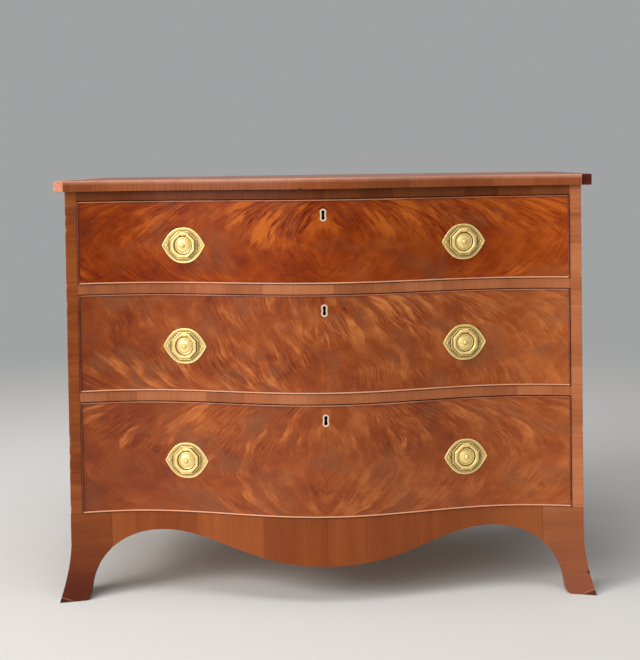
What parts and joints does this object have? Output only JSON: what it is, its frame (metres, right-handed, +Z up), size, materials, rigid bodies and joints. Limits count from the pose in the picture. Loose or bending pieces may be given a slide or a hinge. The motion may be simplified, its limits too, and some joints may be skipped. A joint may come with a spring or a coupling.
{
  "type": "serpentine chest of drawers",
  "caption": "Mahogany chest with a serpentine front, long drawers with beaded edges and ring handles, a shaped apron and splayed bracket feet.",
  "frame": {"origin": "on the floor, under the middle of the chest's box", "axes": "+X across the chest to the viewer's right, +Y from the front to the back, +Z up"},
  "size_m": [1.07, 0.537, 0.84],
  "materials": {
    "mahogany": "polished",
    "flame_veneer": "polished",
    "cross_veneer": "polished",
    "beading": "polished",
    "oak": "raw",
    "pine": "raw",
    "brass": "polished",
    "lock_iron": "worn",
    "bone": "satin"
  },
  "bodies": {
    "case": {"top_board": "mahogany", "top_left_lipping": "mahogany", "top_right_lipping": "mahogany", "left_side": "mahogany", "right_side": "mahogany", "left_stile": "cross_veneer", "right_stile": "cross_veneer", "top_rail": "cross_veneer", "upper_rail": "cross_veneer", "lower_rail": "cross_veneer", "apron": "cross_veneer", "left_front_foot": "mahogany", "right_front_foot": "mahogany", "left_back_foot": "mahogany", "right_back_foot": "mahogany", "upper_dust_board": "oak", "lower_dust_board": "oak", "bottom_board": "oak", "left_back_board": "pine", "middle_back_board": "pine", "right_back_board": "pine"},
    "top_drawer": {"top_drawer_front": "flame_veneer", "top_drawer_bead": "beading", "top_drawer_left_side": "oak", "top_drawer_right_side": "oak", "top_drawer_back": "oak", "top_drawer_bottom": "oak", "top_drawer_lock": "lock_iron", "top_drawer_escutcheon": "bone", "top_drawer_left_plate": "brass", "top_drawer_right_plate": "brass"},
    "middle_drawer": {"middle_drawer_front": "flame_veneer", "middle_drawer_bead": "beading", "middle_drawer_left_side": "oak", "middle_drawer_right_side": "oak", "middle_drawer_back": "oak", "middle_drawer_bottom": "oak", "middle_drawer_lock": "lock_iron", "middle_drawer_escutcheon": "bone", "middle_drawer_left_plate": "brass", "middle_drawer_right_plate": "brass"},
    "bottom_drawer": {"bottom_drawer_front": "flame_veneer", "bottom_drawer_bead": "beading", "bottom_drawer_left_side": "oak", "bottom_drawer_right_side": "oak", "bottom_drawer_back": "oak", "bottom_drawer_bottom": "oak", "bottom_drawer_lock": "lock_iron", "bottom_drawer_escutcheon": "bone", "bottom_drawer_left_plate": "brass", "bottom_drawer_right_plate": "brass"},
    "top_left_ring": {"top_drawer_left_ring": "brass"},
    "top_right_ring": {"top_drawer_right_ring": "brass"},
    "middle_left_ring": {"middle_drawer_left_ring": "brass"},
    "middle_right_ring": {"middle_drawer_right_ring": "brass"},
    "bottom_left_ring": {"bottom_drawer_left_ring": "brass"},
    "bottom_right_ring": {"bottom_drawer_right_ring": "brass"}
  },
  "joints": [
    {"name": "top_drawer_slide", "type": "slide", "parent": "case", "child": "top_drawer", "axis": [0, -1, 0], "range_m": [0, 0.32]},
    {"name": "middle_drawer_slide", "type": "slide", "parent": "case", "child": "middle_drawer", "axis": [0, -1, 0], "range_m": [0, 0.32]},
    {"name": "bottom_drawer_slide", "type": "slide", "parent": "case", "child": "bottom_drawer", "axis": [0, -1, 0], "range_m": [0, 0.32]},
    {"name": "top_left_ring_swing", "type": "hinge", "parent": "top_drawer", "child": "top_left_ring", "pos_m": [-0.28094, -0.20411, 0.731], "axis": [-0.9781, 0.2081, 0], "range_deg": [0, 150]},
    {"name": "top_right_ring_swing", "type": "hinge", "parent": "top_drawer", "child": "top_right_ring", "pos_m": [0.28094, -0.20411, 0.731], "axis": [-0.9781, -0.2081, 0], "range_deg": [0, 150]},
    {"name": "middle_left_ring_swing", "type": "hinge", "parent": "middle_drawer", "child": "middle_left_ring", "pos_m": [-0.28094, -0.20411, 0.529], "axis": [-0.9781, 0.2081, 0], "range_deg": [0, 150]},
    {"name": "middle_right_ring_swing", "type": "hinge", "parent": "middle_drawer", "child": "middle_right_ring", "pos_m": [0.28094, -0.20411, 0.529], "axis": [-0.9781, -0.2081, 0], "range_deg": [0, 150]},
    {"name": "bottom_left_ring_swing", "type": "hinge", "parent": "bottom_drawer", "child": "bottom_left_ring", "pos_m": [-0.28094, -0.20411, 0.2985], "axis": [-0.9781, 0.2081, 0], "range_deg": [0, 150]},
    {"name": "bottom_right_ring_swing", "type": "hinge", "parent": "bottom_drawer", "child": "bottom_right_ring", "pos_m": [0.28094, -0.20411, 0.2985], "axis": [-0.9781, -0.2081, 0], "range_deg": [0, 150]}
  ]
}
